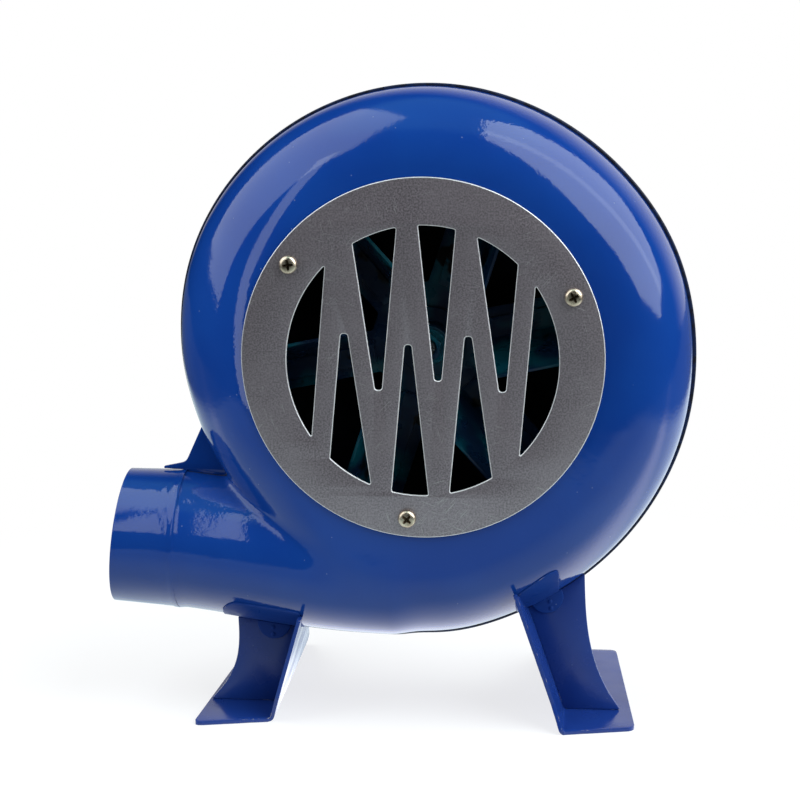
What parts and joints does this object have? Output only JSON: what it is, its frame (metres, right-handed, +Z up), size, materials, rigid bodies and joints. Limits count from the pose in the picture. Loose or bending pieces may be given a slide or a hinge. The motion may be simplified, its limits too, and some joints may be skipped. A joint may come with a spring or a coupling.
{
  "type": "hand crank blower",
  "caption": "Hand crank blower: blue pressed-steel snail housing on two sheet legs, slotted round intake plate, short round side outlet and a geared crank with a grip at the back.",
  "frame": {"origin": "middle of the bounding box's footprint, on the floor under the feet", "axes": "+Z up, -Y out of the intake plate, -X out of the outlet tube, +Y towards the crank grip"},
  "size_m": [0.2328, 0.1856, 0.2518],
  "materials": {
    "blue_paint": "gloss blue paint",
    "zinc_sheet": "satin zinc coating",
    "impeller_paint": "gloss teal-blue paint",
    "plated_steel": "warm nickel plating",
    "bright_steel": "bright turned steel",
    "gear_steel": "cut steel, slightly oiled",
    "bronze": "turned bronze",
    "gasket_paper": "matt fibre",
    "black_plastic": "satin black moulding"
  },
  "bodies": {
    "housing": {"back_shell": "blue_paint", "bearing_front": "bright_steel", "bearing_housing": "bright_steel", "bearing_rear": "bright_steel", "bearing_spacer": "bright_steel", "case_gasket": "gasket_paper", "clip_left": "blue_paint", "clip_right": "blue_paint", "cover_screw_1": "plated_steel", "cover_screw_2": "plated_steel", "cover_screw_3": "plated_steel", "cover_screw_4": "plated_steel", "crank_bush_front": "bronze", "crank_bush_rear": "bronze", "front_shell": "blue_paint", "gear_cover": "blue_paint", "gear_plate": "bright_steel", "grille_plate": "zinc_sheet", "grille_screw_1": "plated_steel", "grille_screw_2": "plated_steel", "grille_screw_3": "plated_steel", "idler_bush_front": "bronze", "idler_bush_rear": "bronze", "leg_left": "blue_paint", "leg_right": "blue_paint", "outlet_sleeve": "blue_paint", "web_left": "blue_paint", "web_right": "blue_paint"},
    "crank": {"crank_shaft": "bright_steel", "drive_gear": "gear_steel", "crank_arm": "plated_steel", "crank_washer": "plated_steel", "crank_nut": "plated_steel", "grip_pin": "plated_steel", "grip_nut": "plated_steel"},
    "grip": {"grip": "black_plastic"},
    "idler": {"idler_shaft": "bright_steel", "idler_gear": "gear_steel", "idler_pinion": "gear_steel"},
    "impeller": {"blade_1": "impeller_paint", "blade_2": "impeller_paint", "blade_3": "impeller_paint", "blade_4": "impeller_paint", "blade_5": "impeller_paint", "blade_6": "impeller_paint", "impeller_disc": "impeller_paint", "impeller_hub": "bright_steel", "impeller_nut": "bright_steel", "impeller_pinion": "gear_steel", "impeller_shaft": "bright_steel", "impeller_spacer": "bright_steel", "impeller_washer": "bright_steel"}
  },
  "joints": [
    {"name": "crank_spin", "type": "hinge", "parent": "housing", "child": "crank", "pos_m": [0.01088, -0.0043, 0.1745], "axis": [0, 1, 0], "continuous": true},
    {"name": "grip_spin", "type": "hinge", "parent": "crank", "child": "grip", "pos_m": [0.01088, 0.0517, 0.0745], "axis": [0, 1, 0], "continuous": true},
    {"name": "idler_spin", "type": "hinge", "parent": "housing", "child": "idler", "pos_m": [0.0394, -0.013, 0.15253], "axis": [0, 1, 0], "continuous": true},
    {"name": "impeller_spin", "type": "hinge", "parent": "housing", "child": "impeller", "pos_m": [0.01088, -0.0568, 0.1485], "axis": [0, 1, 0], "continuous": true}
  ],
  "couplings": [
    {"joint": "idler_spin", "follows": "crank_spin", "ratio": -5},
    {"joint": "impeller_spin", "follows": "crank_spin", "ratio": 25}
  ]
}
